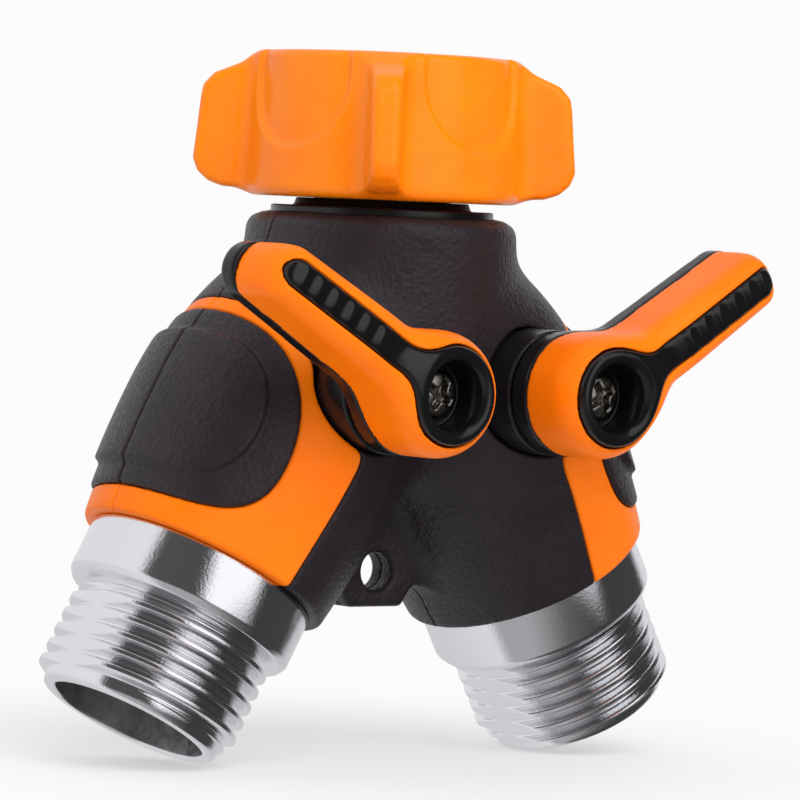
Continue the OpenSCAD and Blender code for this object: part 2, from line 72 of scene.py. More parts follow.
mounts = {mount["name"]: mount for mount in record["mounts"]}
joints = {joint["name"]: joint for joint in frame["joints"]}
outlet = mounts["right_outlet"]
LEG_ANGLE = math.atan2(abs(outlet["axis"][0]), -outlet["axis"][2])
WYE = (outlet["pos_m"][2] - outlet["pos_m"][0] * outlet["axis"][2] / outlet["axis"][0]) / MM
BALL = abs(joints["right_lever_turn"]["pos_m"][0]) / MM / math.sin(LEG_ANGLE)
OVERTRAVEL = {side: joints[side + "_lever_turn"]["range_deg"][1] - 90 for side in SIDES}

PITCH = 2.209
NUT_HEIGHT = 18.9
NUT_R = 18.0
NUT_TAPER = 0.6
NUT_FLOOR = -15.35
NUT_BORE_R = 14.6
WING_REACH = 25.0
WING_TURN = -38
WINGS = 4

NECK_R = 17.5
NECK_STRAIGHT = -36.0
NECK_DROP = 21.0
COVER_TOP = -21.5
COVER_END = 55.3
COVER_WALL = 2.4
BELLY_R, BELLY_CORE, BELLY_PLACE, BELLY_UP, BELLY_DOWN = 17.8, 2.0, 37.0, 30.0, 48.0
EDGE_X = 18.0
PANEL_DEPTH = 1.2
GRIP_DEPTH = 0.6
GRIP_RISE = 0.45
GRIP_STEP = 0.8
TAB_HALF = 2.5
TAB_HOLE_Z = mounts["hanging_hole"]["pos_m"][2] / MM
TAB_HOLE_R = mounts["hanging_hole"]["dims"]["r_mm"]
COVER_SCREWS = ((-49.5, 11.0), (-61.0, 1.4))
COVER_SCREW_HOLE_R, COVER_SCREW_BOSS_R = 2.1, 2.6
COVER_STEP = 0.4
PAD_STEP = 0.35
PAD_GAP = 0.07
NECK_BORE_R, NECK_BORE_DEPTH = 12.85, 5
SOCKET_R, SOCKET_START = 13.45, 39
STEM_HOLE_R, STEM_RING_R = 8.25, 8.4
PANEL_TOP, PANEL_INNER = 23.7, -1.7
PANEL_SLOPE, PANEL_SLOPE_START = 0.69, 15.7

NOSE_START, NOSE_BORE_R, NOSE_R = 35.45, 5.8, 8.75
SHANK_START, SHANK_R = 41.05, 11.6
COLLAR_START, COLLAR_R = 55.4, 15.2
OUTLET_BORE_START, OUTLET_BORE_R = 43.5, 10.25
OUTLET_END = 77
THREAD_START, THREAD_END = 63.1, 75.7

HUB_R = 8.0
PLATE_BACK, PLATE_FRONT = 21.6, 24.7
HUB_FRONT = 33.6
ARM_FRONT = 33.7
REACH = 32.6
ROOT_HALF, TIP_HALF = 4.5, 3.7
FACE_R = 6.4
STRIP_HALF, STRIP_REACH, STRIP_DEPTH = 1.9, 30.7, 1.7
POCKET_R, POCKET_FLOOR = 4.1, 28.8
WELL_FLOOR = 27.2
STEM_HOLE_HALF = 2.6  # half the plate's square hole, and the radius of the shell's round one
INSERT_HOLE_R = 1.7
SCREW_R, SCREW_HEAD_R, SCREW_HEAD_RISE, SCREW_END = 1.5, 3.2, 1.8, 19

CAMERA_PLACE = (-409.93, -522.71, -20.54)
CAMERA_TURNS = (-38.4, 2.1, 2.5)
LENS = 228.7
LIGHT_AIM = (0, 0, -45)
BACKDROP = 0.97

# ------------------------------------------------------------------ materials


class Finish:
    """A node material on one Principled shader, in the object's own coordinates."""

    def __init__(self, name, colour, roughness, **sockets):
        self.name = name
        self.material = bpy.data.materials.new(name + "_finish")
        self.material.use_nodes = True
        self.nodes = self.material.node_tree.nodes
        self.shader = self.nodes["Principled BSDF"]
        self.place = self.nodes.new("ShaderNodeTexCoord")
        self.shader.inputs["Base Color"].default_value = (*colour, 1)
        self.shader.inputs["Roughness"].default_value = roughness
        for socket, value in sockets.items():
            self.shader.inputs[socket.replace("_", " ")].default_value = value
        self.colour = colour
        self.bump = None

    def link(self, output, socket):
        self.material.node_tree.links.new(output, socket)

    def noise(self, size_mm, detail=2.0, rough=0.5):
        node = self.nodes.new("ShaderNodeTexNoise")
        node.inputs["Scale"].default_value = 1 / (size_mm * MM)
        node.inputs["Detail"].default_value = detail
        node.inputs["Roughness"].default_value = rough
        self.link(self.place.outputs["Object"], node.inputs["Vector"])
        return node.outputs["Fac"]

    def cells(self, size_mm):
        node = self.nodes.new("ShaderNodeTexVoronoi")
        node.feature = "SMOOTH_F1"
        node.inputs["Scale"].default_value = 1 / (size_mm * MM)
        node.inputs["Smoothness"].default_value = 0.7
        self.link(self.place.outputs["Object"], node.inputs["Vector"])
        return node.outputs["Distance"]

    def relief(self, height, depth_mm, strength):
        """Adds a bump, on top of any relief that is already there."""
        node = self.nodes.new("ShaderNodeBump")
        node.inputs["Distance"].default_value = depth_mm * MM
        node.inputs["Strength"].default_value = strength
        self.link(height, node.inputs["Height"])
        if self.bump:
            self.link(self.bump.outputs["Normal"], node.inputs["Normal"])
        self.link(node.outputs["Normal"], self.shader.inputs["Normal"])
        self.bump = node
        return self

    def spread(self, source, low, high):
        node = self.nodes.new("ShaderNodeMapRange")
        node.inputs["From Min"].default_value = 0.35
        node.inputs["From Max"].default_value = 0.65
        node.inputs["To Min"].default_value = low
        node.inputs["To Max"].default_value = high
        self.link(source, node.inputs["Value"])
        return node.outputs["Result"]

    def mottle(self, source, other):
        """Varies the base colour towards another one."""
        ramp = self.nodes.new("ShaderNodeValToRGB")
        ramp.color_ramp.elements[0].position = 0.35
        ramp.color_ramp.elements[1].position = 0.65
        ramp.color_ramp.elements[0].color = (*self.colour, 1)
        ramp.color_ramp.elements[1].color = (*other, 1)
        self.link(source, ramp.inputs["Fac"])
        self.link(ramp.outputs["Color"], self.shader.inputs["Base Color"])
        return self

    def vary_roughness(self, source, low, high):
        self.link(self.spread(source, low, high), self.shader.inputs["Roughness"])
        return self


def make_materials():
    orange = Finish("orange_plastic", (0.98, 0.195, 0.0015), 0.34, Specular_IOR_Level=0.16)
    orange.mottle(orange.noise(9, 3), (0.97, 0.175, 0.001))
    orange.vary_roughness(orange.noise(0.8, 4), 0.32, 0.44)
    orange.relief(orange.noise(0.35, 3), 0.012, 0.35).relief(orange.noise(4, 2), 0.05, 0.2)

    # The nut's finish is a lighter, yellower copy of the orange plastic: painted light from above.
    orange_lit_from_above = Finish("nut_orange_painted_light", (0.98, 0.232, 0.001), 0.26, Specular_IOR_Level=0.3)
    orange_lit_from_above.mottle(orange_lit_from_above.noise(9, 3), (0.97, 0.205, 0.0008))
    orange_lit_from_above.vary_roughness(orange_lit_from_above.noise(0.8, 4), 0.2, 0.32)
    orange_lit_from_above.relief(orange_lit_from_above.noise(0.35, 3), 0.012, 0.3).relief(orange_lit_from_above.noise(4, 2), 0.05, 0.2)

    rubber = Finish("cover_rubber", (0.017, 0.0125, 0.0155), 0.5, Specular_IOR_Level=0.36)
    rubber.mottle(rubber.noise(5, 3), (0.021, 0.0155, 0.019))
    rubber.vary_roughness(rubber.noise(0.5, 4), 0.34, 0.5)
    rubber.relief(rubber.cells(0.62), 0.14, 0.75).relief(rubber.noise(0.34, 4, 0.6), 0.06, 0.8)

    satin_black = Finish("black_plastic", (0.007, 0.0065, 0.0075), 0.28, Specular_IOR_Level=0.4)
    satin_black.vary_roughness(satin_black.noise(1.2, 4), 0.2, 0.34)
    satin_black.relief(satin_black.noise(0.5, 3), 0.01, 0.3)

    gloss_black = Finish("insert_black", (0.005, 0.0048, 0.0052), 0.17, Specular_IOR_Level=0.45)
    gloss_black.vary_roughness(gloss_black.noise(1.5, 4), 0.13, 0.22)
    gloss_black.relief(gloss_black.noise(2.0, 2), 0.02, 0.3)

    thread_black = Finish("thread_plastic", (0.022, 0.022, 0.024), 0.4)
    thread_black.vary_roughness(thread_black.noise(1.0, 4), 0.34, 0.48)
    thread_black.relief(thread_black.noise(0.5, 3), 0.012, 0.3)

    chrome = Finish("chrome_zinc", (0.82, 0.82, 0.835), 0.07, Metallic=1.0)
    chrome.vary_roughness(chrome.noise(3.0, 5), 0.045, 0.11)
    chrome.relief(chrome.noise(0.42, 4, 0.65), 0.036, 0.7).relief(chrome.noise(3.5, 2), 0.05, 0.2)

    cast = Finish("cast_zinc", (0.62, 0.63, 0.64), 0.42, Metallic=1.0)
    cast.mottle(cast.noise(2.2, 5, 0.65), (0.42, 0.43, 0.44))
    cast.vary_roughness(cast.noise(0.9, 4), 0.34, 0.55)
    cast.relief(cast.noise(0.4, 5, 0.65), 0.04, 0.5)

    brass = Finish("tailpiece_brass", (0.72, 0.5, 0.21), 0.27, Metallic=1.0)
    brass.mottle(brass.noise(3, 4), (0.6, 0.4, 0.16))
    brass.vary_roughness(brass.noise(1.0, 4), 0.2, 0.36)
    brass.relief(brass.noise(0.4, 3), 0.01, 0.25)

    steel = Finish("screw_steel", (0.4, 0.37, 0.33), 0.3, Metallic=1.0)
    steel.mottle(steel.noise(0.7, 4), (0.16, 0.14, 0.12))
    steel.vary_roughness(steel.noise(0.5, 3), 0.16, 0.34)
    steel.relief(steel.noise(0.3, 4), 0.02, 0.35)

    mesh_steel = Finish("screen_steel", (0.6, 0.6, 0.61), 0.3, Metallic=1.0)
    mesh_steel.vary_roughness(mesh_steel.noise(0.6, 3), 0.22, 0.4)
    mesh_steel.relief(mesh_steel.noise(0.3, 3), 0.015, 0.4)

    seal = Finish("seal_rubber", (0.018, 0.018, 0.019), 0.62)
    seal.vary_roughness(seal.noise(0.8, 4), 0.54, 0.7)
    seal.relief(seal.noise(0.3, 4), 0.02, 0.4)

    seat = Finish("seat_plastic", (0.82, 0.82, 0.79), 0.35)
    seat.vary_roughness(seat.noise(1.0, 3), 0.3, 0.42)
    seat.relief(seat.noise(0.6, 3), 0.01, 0.3)

    polished = Finish("ball_chrome", (0.8, 0.8, 0.81), 0.06, Metallic=1.0)
    polished.vary_roughness(polished.noise(2.0, 4), 0.04, 0.1)
    polished.relief(polished.noise(1.0, 3), 0.004, 0.2)

    finishes = (orange, orange_lit_from_above, rubber, satin_black, gloss_black, thread_black, chrome, cast, brass,
                steel, mesh_steel, seal, seat, polished)
    return {finish.name: finish.material for finish in finishes}


MATERIALS = make_materials()

# ------------------------------------------------------------------ meshes


def make_piece(name, vertices, faces, node):
    """A mesh piece in metres that stands for a CAD node and rides on that node's body."""
    mesh = bpy.data.meshes.new(name)
    mesh.from_pydata((np.asarray(vertices) * MM).tolist(), [], np.asarray(faces).tolist())
    mesh.validate()
    mesh.polygons.foreach_set("use_smooth", [True] * len(mesh.polygons))
    piece = bpy.data.objects.new(name, mesh)
    bpy.context.collection.objects.link(piece)
    stand_for(piece, node)
    return piece


def slot_of(node):
    return next(part["material_slot"] for part in record["subparts"] if part["node"] == node)


def paint(thing, slot):
    thing.data.materials.clear()
    thing.data.materials.append(MATERIALS[slot])


def stand_for(piece, node):
    body = next(b for b, members in record["behaviour"]["bodies"].items() if node in members)
    slot = slot_of(node)
    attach(piece, body)
    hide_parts(node)
    paint(piece, slot)


def field_mesh(field, low, high, step):
    """Quads of the surface field(p) = 0 in a box, with every vertex pulled onto it."""
    low = np.array(low, float)
    counts = np.ceil((np.array(high) - low) / step).astype(int) + 1
    axes = [low[i] + step * np.arange(counts[i]) for i in range(3)]
    values = field(np.stack(np.meshgrid(*axes, indexing="ij")))
    inside = values < 0
    corners = np.array([(i, j, k) for i in (0, 1) for j in (0, 1) for k in (0, 1)])
    cell_shape = counts - 1
    within = np.zeros(cell_shape, int)
    for i, j, k in corners:
        within += inside[i:i + cell_shape[0], j:j + cell_shape[1], k:k + cell_shape[2]]
    mixed = (within > 0) & (within < 8)
    number = np.full(cell_shape, -1)
    number[mixed] = np.arange(mixed.sum())
    cells = np.argwhere(mixed)
    total = np.zeros((len(cells), 3))
    hits = np.zeros(len(cells))
    for first in corners:
        for axis in np.flatnonzero(first == 0):
            second = first.copy()
            second[axis] = 1
            a, b = values[tuple((cells + first).T)], values[tuple((cells + second).T)]
            crossing = (a < 0) != (b < 0)
            share = np.where(crossing, a / np.where(a == b, 1, a - b), 0)
            total += crossing[:, None] * (first + share[:, None] * (second - first))
            hits += crossing
    vertices = low + step * (cells + total / hits[:, None])
    faces = []
    for axis in range(3):
        u, v = [(1, 2), (2, 0), (0, 1)][axis]
        before = inside.take(range(counts[axis] - 1), axis)
        after = inside.take(range(1, counts[axis]), axis)
        places = np.argwhere(before != after)
        inner = (places[:, u] > 0) & (places[:, v] > 0)
        inner &= (places[:, u] < cell_shape[u]) & (places[:, v] < cell_shape[v])
        places = places[inner]
        outward = before[tuple(places.T)]
        ring = []
        for du, dv in ((0, 0), (-1, 0), (-1, -1), (0, -1)):
            corner = places.copy()
            corner[:, u] += du
            corner[:, v] += dv
            ring.append(number[tuple(corner.T)])
        ring = np.stack(ring, 1)
        faces.append(np.where(outward[:, None], ring, ring[:, ::-1]))
    return pull_onto(field, vertices, step), np.concatenate(faces)


def pull_onto(field, vertices, step, rounds=3):
    """Newton steps along the field's slope, each no longer than half a grid step."""
    points = vertices.T
    reach = 0.02
    for _ in range(rounds):
        value = field(points)
        slope = np.empty_like(points)
        for axis in range(3):
            shift = np.zeros((3, 1))
            shift[axis] = reach
            slope[axis] = (field(points + shift) - field(points - shift)) / (2 * reach)
        move = slope * (value / np.maximum((slope ** 2).sum(0), 0.05))
        length = np.sqrt((move ** 2).sum(0))
        points = points - move * np.minimum(1, step / 2 / np.maximum(length, 1e-9))
    return points.T


def mirrored(vertices, faces, axis):
    """The mirror image of a mesh across the plane where one coordinate is zero."""
    flipped = np.array(vertices)
    flipped[:, axis] *= -1
    return flipped, np.asarray(faces)[:, ::-1]


def lathe(rows, radius=None, columns=144):
    """A closed ring of rows (height, radius, threaded) turned about +Z."""
    angles = np.arange(columns) * 2 * math.pi / columns
    vertices = []
    for height, base, threaded in rows:
        r = radius(height, angles) if threaded else np.full(columns, float(base))
        ring = np.stack([r * np.cos(angles), r * np.sin(angles), np.full(columns, height)], 1)
        vertices.append(ring)
    count = len(rows)
    faces = []
    for i in range(count):
        for j in range(columns):
            a, b = i * columns, (i + 1) % count * columns
            k = (j + 1) % columns
            faces.append((a + j, a + k, b + k, b + j))
    return np.concatenate(vertices), np.array(faces)


def rounded(corners, steps=4):
    """Profile points (height, radius, edge) with each edge rounded, as lathe() rows."""
    rows = []
    count = len(corners)
    for i, (h, r, edge) in enumerate(corners):
        here = np.array([h, r])
        if edge == 0:
            rows.append((h, r, False))
            continue
        before = np.array(corners[i - 1][:2]) - here
        after = np.array(corners[(i + 1) % count][:2]) - here
        start = here + before * edge / np.linalg.norm(before)
        end = here + after * edge / np.linalg.norm(after)
        for k in range(steps + 1):
            t = k / steps
            point = start * (1 - t) ** 2 + here * 2 * t * (1 - t) + end * t * t
            rows.append((point[0], point[1], False))
    return rows


# ------------------------------------------------------------------ places


def leg_place(side):
    """Takes points built along +Z, with +X outward, onto the axis of one leg."""
    sine, cosine = math.sin(LEG_ANGLE), math.cos(LEG_ANGLE)

    def place(points):
        x, y, z = np.asarray(points).T
        return np.stack([side * (sine * z + cosine * x), -side * y, WYE - cosine * z + sine * x], 1)

    return place


def leg_coordinates(p, side):
    """Outward, across and down-the-leg coordinates of points."""
    x, y, z = p
    sine, cosine = math.sin(LEG_ANGLE), math.cos(LEG_ANGLE)
    return (side * cosine * x + sine * (z - WYE), y, side * sine * x - cosine * (z - WYE))


def place_on_stem(vertices, faces, side, turn=0.0):
    """Puts a mesh built round a stem's axis onto one leg, turned about that axis."""
    along, across, forward = vertices.T
    out = along * math.cos(turn) - across * math.sin(turn)
    down = along * math.sin(turn) + across * math.cos(turn) + BALL
    winding = faces if side == LEFT else faces[:, ::-1]
    return leg_place(side)(np.stack([out, side * forward, down], 1)), winding


# ------------------------------------------------------------------ fields


def smooth_min(a, b, k):
    h = np.maximum(k - np.abs(a - b), 0) / k
    return np.minimum(a, b) - h * h * k / 4


def smooth_max(a, b, k):
    return -smooth_min(-a, -b, k)


def soft_step(t):
    t = np.clip(t, 0, 1)
    return t * t * (3 - 2 * t)


def superellipse(u, v, half_u, half_v, power):
    a, b = np.abs(u) / half_u, np.abs(v) / half_v
    size = (a ** power + b ** power) ** (1 / power) + 1e-6
    slope = np.hypot((a / size) ** (power - 1) / half_u, (b / size) ** (power - 1) / half_v)
    return (size - 1) / np.maximum(slope, 0.02)


def polygon(x, y, points):
    """Signed distance to a closed polygon."""
    distance = np.full(x.shape, 1e9)
    inside = np.zeros(x.shape, bool)
    for (ax, ay), (bx, by) in zip(points, points[1:] + points[:1]):
        ex, ey = bx - ax, by - ay
        wx, wy = x - ax, y - ay
        t = np.clip((wx * ex + wy * ey) / (ex * ex + ey * ey), 0, 1)
        distance = np.minimum(distance, np.hypot(wx - ex * t, wy - ey * t))
        if ey != 0:
            inside ^= ((ay > y) != (by > y)) & (x < ex * (y - ay) / ey + ax)
    return np.where(inside, -distance, distance)


# ------------------------------------------------------------------ cover


def barrel(p, side):
    out, y, down = leg_coordinates(p, side)
    inward = soft_step((7.5 - out) / 9)
    fullness = 1 + 0.09 * inward * np.exp(-((down - BELLY_PLACE) / 14) ** 2)
    y = np.where(y < 0, y / fullness, y)
    reach = np.where(down < BELLY_PLACE, BELLY_UP, BELLY_DOWN)
    bulge = np.sqrt(np.maximum(1 - ((down - BELLY_PLACE) / reach) ** 2, 0.02))
    slope = (BELLY_R - BELLY_CORE) * (down - BELLY_PLACE) / reach ** 2 / bulge
    wall = np.hypot(out, y) - BELLY_CORE - (BELLY_R - BELLY_CORE) * bulge
    return smooth_max(wall / np.sqrt(1 + slope ** 2), down - COVER_END, 0.7)


def cover_skin(p):
    """Neck, shoulders and both barrels as one soft form."""
    x, y, z = p
    drop = np.minimum(z - NECK_STRAIGHT, 0) / NECK_DROP
    neck = (np.sqrt((np.hypot(x, y) / NECK_R) ** 2 + drop ** 2) - 1) * NECK_R
    neck = smooth_max(neck, z - COVER_TOP, 2.3)
    legs = smooth_min(barrel(p, LEFT), barrel(p, RIGHT), 3.0)
    return smooth_min(neck, legs, 4.0)


def tab(p):
    x, y, z = p
    points = [(-3.8, -71.2), (3.8, -71.2), (5.6, -68.5), (9, -67.6), (11.5, -63), (0, -48),
              (-11.5, -63), (-9, -67.6), (-5.6, -68.5)]
    return smooth_max(polygon(x, z, points) - 0.8, np.abs(y) - TAB_HALF, 0.9)


def panel_outline(p, side=LEFT):
    """Outline of a side panel: a sloping top edge, a straight inner edge and the stem's ring."""
    out, _, down = leg_coordinates(p, side)
    top = PANEL_TOP - down
    slant = PANEL_TOP + PANEL_SLOPE * (PANEL_SLOPE_START - out) - down
    slant = slant / math.hypot(1, PANEL_SLOPE)
    edge = smooth_max(smooth_max(top, slant, 2.0), PANEL_INNER - out, 2.5)
    return smooth_max(edge, STEM_RING_R - np.hypot(out, down - BALL), 1.0)


def grip_outline(p, half_width, up, down_reach, centre, powers):
    """Outline round a grip on the left leg: one superellipse above its centre, one below."""
    out, _, down = leg_coordinates(p, LEFT)
    above = down < centre
    reach = np.where(above, up, down_reach)
    power = np.where(above, powers[0], powers[1])
    return superellipse(np.maximum(EDGE_X - out, 0), down - centre, half_width, reach, power)


def grip_field(p):
    return grip_outline(p, 11.6, 16.3, 9.5, 42.5, (1.9, 2.7))


def grip_centre(p):
    return grip_outline(p, 6.5, 10.5, 8.6, 40.4, (2.0, 2.2))


def side_panel(p):
    skin = cover_skin(p)
    f = smooth_max(skin, panel_outline(p) + PAD_GAP, 0.45)
    recess = np.maximum(grip_field(p), -(skin + GRIP_DEPTH))
    f = smooth_max(f, -recess, 0.4)
    f = np.maximum(f, -(skin + PANEL_DEPTH - 0.05))
    return smooth_max(f, p[1] + 0.02, 0.12)


def side_grip(p):
    skin = cover_skin(p)
    rise = GRIP_RISE + GRIP_STEP * soft_step(0.5 - grip_centre(p) / 1.1)
    f = smooth_max(skin - rise, grip_field(p) + PAD_GAP, 0.8)
    f = np.maximum(f, -(skin + GRIP_DEPTH - 0.05))
    return smooth_max(f, p[1] + 0.03, 0.45)


def cover_half(p, face):
    x, y, z = p
    skin = cover_skin(p)
    f = np.maximum(smooth_min(skin, tab(p), 3.0), -(skin + COVER_WALL))
    r = np.hypot(x, y)
    f = smooth_max(f, -np.maximum(r - NECK_BORE_R, COVER_TOP - NECK_BORE_DEPTH - z), 0.6)
    for side in (LEFT, RIGHT):
        out, across, down = leg_coordinates(p, side)
        socket = np.maximum(np.hypot(out, across) - SOCKET_R, SOCKET_START - down)
        f = np.maximum(f, -socket)
        recess = np.maximum(panel_outline(p, side), -(skin + PANEL_DEPTH))
        f = smooth_max(f, -recess, 0.4)
        if face == FRONT:
            f = smooth_max(f, STEM_HOLE_R - np.hypot(out, down - BALL), 0.6)
    f = smooth_max(f, TAB_HOLE_R - np.hypot(x, z - TAB_HOLE_Z), 0.9)
    if face == REAR:
        height, seat = COVER_SCREWS[0]
        boss = np.maximum(np.hypot(x, z - height) - COVER_SCREW_BOSS_R, y - seat)
        f = np.minimum(f, boss)
        for height, seat in COVER_SCREWS:
            hole = np.maximum(np.hypot(x, z - height) - COVER_SCREW_HOLE_R, seat - y)
            f = smooth_max(f, -hole, 0.3)
    return smooth_max(f, -face * y + 0.01, 0.12)


def build_cover():
    panel = field_mesh(side_panel, (-52, -20, -77), (-11, 1, -28), PAD_STEP)
    grip = field_mesh(side_grip, (-52, -21, -72), (-16, 1, -30), PAD_STEP)
    for kind, shape in (("panel", panel), ("grip", grip)):
        for side_name, side in SIDES.items():
            for face_name, face in (("front", FRONT), ("rear", REAR)):
                placed = shape if side == LEFT else mirrored(*shape, 0)
                placed = placed if face == FRONT else mirrored(*placed, 1)
                name = f"{side_name}_{face_name}_{kind}"
                make_piece(name + "_form", *placed, name)
    halves = {"front_cover": (FRONT, -20, 1), "rear_cover": (REAR, -1, 20)}
    for name, (face, y_low, y_high) in halves.items():
        low, high = (-46, y_low, -77), (46, y_high, -20)
        half = field_mesh(lambda p: cover_half(p, face), low, high, COVER_STEP)
        make_piece(name + "_form", *half, name)


# ------------------------------------------------------------------ inlet nut


def nut(p):
    x, y, z = p
    r = np.hypot(x, y)
    wall = NUT_R - NUT_TAPER * (z + NUT_HEIGHT) / NUT_HEIGHT
    angle = np.degrees(np.arctan2(y, x))
    spacing = 360 / WINGS
    from_wing = (angle - WING_TURN + 90 + spacing / 2) % spacing - spacing / 2
    from_gap = (angle - WING_TURN + 90) % spacing - spacing / 2
    arc = np.radians(from_gap) * NUT_R
    foot, half = -12.9, 9.5
    below = np.minimum(z - foot - half, 0)
    scallop = soft_step(-(np.hypot(arc, below) - half) / 1.0)
    body = r - wall + 0.8 * scallop
    u = r * np.cos(np.radians(from_wing))
    t = r * np.sin(np.radians(from_wing))
    outline = [(14, -2.2), (NUT_R - 0.4, -2.7), (WING_REACH - 3.3, -4.4),
               (WING_REACH - 2.4, -5.4), (WING_REACH - 2.2, -6.6), (WING_REACH - 1.9, -10),
               (WING_REACH - 1.5, -14.2), (WING_REACH - 1.9, -15.2), (WING_REACH - 2.8, -16),
               (WING_REACH - 4.3, -16.6), (14, -17.1)]
    thickness = 1.7 + 0.11 * (WING_REACH - u)
    wing = smooth_max(polygon(u, z, outline) - 1.45, np.abs(t) - thickness, 1.1)
    f = smooth_max(smooth_min(body, wing, 2.2), z, 1.3)
    f = smooth_max(f, -NUT_HEIGHT - z, 1.6)
    cup = np.maximum(r - NUT_BORE_R, NUT_FLOOR - z)
    return smooth_max(smooth_max(f, -cup, 0.7), 9.1 - r, 0.6)


def thread_wave(phase, crest=0.2, flank=0.36):
    """Height from 0 to 1 of a V thread at a phase in turns, with a soft crest and root."""
    away = np.abs((phase + 0.5) % 1 - 0.5)
    return soft_step(1 - (away - crest / 2) / flank)


def build_inlet():
    form = field_mesh(nut, (-27, -27, -20), (27, 27, 1), 0.33)
    shell = make_piece("nut_shell_form", *form, "nut_shell")
    # The nut shell wears the lighter copy of the orange plastic, which paints light from above onto it.
    shell.data.materials[0] = MATERIALS["nut_orange_painted_light"]
    root, depth, top, floor = 13.6, 1.15, -0.15, NUT_FLOOR + 0.05
    run = 5 * PITCH

    def radius(height, angles):
        phase = (height + 0.5) / PITCH - angles / (2 * math.pi)
        fade = soft_step((-height) / 0.6) * soft_step((height + run + 0.6) / 1.2)
        return root - depth * fade * thread_wave(phase)

    rows = [(floor, NUT_BORE_R - 0.05, False), (floor, root, False)]
    steps = 110
    rows += [(floor + (top - floor) * i / steps, root, True) for i in range(1, steps)]
    rows += [(top, root, False), (top, NUT_BORE_R - 0.05, False)]
    make_piece("thread_insert_form", *lathe(rows[::-1], radius), "nut_thread_insert")
    ring = [(-21.45, 9.1, 0.1), (-21.45, 14.55, 0.25), (-19.95, 14.55, 0.35), (-19.95, 11.6, 0.3),
            (-18.97, 11.25, 0.15), (-18.97, 9.1, 0.1)]
    make_piece("top_ring_form", *lathe(rounded(ring)), "top_ring")
    washer = [(-13.3, 7.2, 0.3), (-13.3, 12.1, 0.4), (-10.8, 12.1, 0.4), (-10.8, 7.2, 0.4)]
    make_piece("hose_washer_form", *lathe(rounded(washer)), "hose_washer")


# ------------------------------------------------------------------ outlet nozzles


def nozzle_rows():
    """Closed profile of a nozzle: nose, shank, collar, thread, rim and stepped bore."""
    outer = [(NOSE_START, NOSE_BORE_R, 0), (NOSE_START, NOSE_R, 0.2), (SHANK_START, NOSE_R, 0),
             (SHANK_START, SHANK_R, 0.2), (COLLAR_START, SHANK_R, 0),
             (COLLAR_START, COLLAR_R, 0.15), (62.0, COLLAR_R, 0.25), (62.9, 14.6, 0.3),
             (62.95, 12.5, 0)]
    rows = rounded(outer)
    steps = 150
    rows += [(THREAD_START + (THREAD_END - THREAD_START) * i / steps, 0, True)
             for i in range(steps + 1)]
    inner = [(76.3, 12.0, 0), (76.75, 11.85, 0), (76.97, 11.55, 0), (OUTLET_END, 11.3, 0),
             (OUTLET_END, 10.5, 0.1), (76.7, OUTLET_BORE_R, 0.1),
             (OUTLET_BORE_START, OUTLET_BORE_R, 0.2), (OUTLET_BORE_START, NOSE_BORE_R, 0)]
    return rows + rounded(inner)


def nozzle_radius(height, angles):
    """Right-handed V thread that fades into flats at the two parting lines."""
    root, depth, flat, thinnest = 12.06, 1.43, 12.1, 11.9
    crest_at_zero = 65.53
    phase = (height - crest_at_zero) / PITCH - angles / (2 * math.pi)
    fade = soft_step((height - 63.4) / 0.7) * soft_step((75.6 - height) / 0.8)
    level = flat / np.maximum(np.abs(np.cos(angles)), 0.3)
    return np.maximum(np.minimum(root + depth * fade * thread_wave(phase), level), thinnest)


def parting_line(points_r, height, angles):
    """Height of the dotted line that the mould halves leave along the thread's flats."""
    close = np.exp(-(np.sin(angles) * points_r / 0.18) ** 2)
    dots = 0.5 + 0.5 * math.sin(height * 2 * math.pi / 1.1)
    return 0.07 * close * (0.4 + 0.6 * dots)


def build_nozzles():
    def radius(height, angles):
        r = nozzle_radius(height, angles)
        return r + parting_line(r, height, angles)

    vertices, faces = lathe(nozzle_rows(), radius, columns=240)
    in_bore = (np.hypot(vertices[:, 0], vertices[:, 1])[faces] < OUTLET_BORE_R + 0.05).all(1)
    for name, side in SIDES.items():
        placed = leg_place(side)(vertices)
        piece = make_piece(name + "_nozzle_form", placed, faces, name + "_nozzle")
        piece.data.materials.append(MATERIALS["cast_zinc"])
        piece.data.polygons.foreach_set("material_index", in_bore.astype(np.int32))


# ------------------------------------------------------------------ levers


def arm_plan(along, across, root=ROOT_HALF, tip=TIP_HALF, reach=REACH):
    place = np.clip(along, 0, reach - tip)
    half = root + (tip - root) * place / (reach - tip)
    return np.hypot(along - place, across) - half


def lever_outer(q):
    """Outside of the whole lever: an arm with a rounded tip, blended into a domed hub."""
    along, across, forward = q
    tip_length, tip_depth = 4.2, 6.5
    crown = 0.35 * np.clip(across / TIP_HALF, -1.2, 1.2) ** 2
    dip = 0.45 * np.exp(-((along - 8.5) / 3.5) ** 2)
    side_view = superellipse(np.maximum(along - REACH + tip_length, 0),
                             np.maximum(forward + crown + dip - ARM_FRONT + tip_depth, 0),
                             tip_length, tip_depth, 2)
    arm = smooth_max(arm_plan(along, across), side_view, 2.8)
    hub = smooth_max(np.hypot(along, across) - HUB_R, forward - HUB_FRONT, 4.2)
    return smooth_min(arm, hub, 3.6)


def insert_outline(q):
    along, across, _ = q
    strip = arm_plan(along, across, STRIP_HALF, STRIP_HALF, STRIP_REACH)
    return smooth_min(np.hypot(along, across) - FACE_R, strip, 3.4)


def lever_shell(q):
    f = np.maximum(lever_outer(q), PLATE_FRONT - q[2])
    seat = np.maximum(insert_outline(q), -(lever_outer(q) + STRIP_DEPTH))
    well = np.maximum(np.hypot(q[0], q[1]) - FACE_R, WELL_FLOOR - q[2])
    f = smooth_max(smooth_max(f, -seat, 0.35), -well, 0.35)
    return np.maximum(f, STEM_HOLE_HALF - np.hypot(q[0], q[1]))


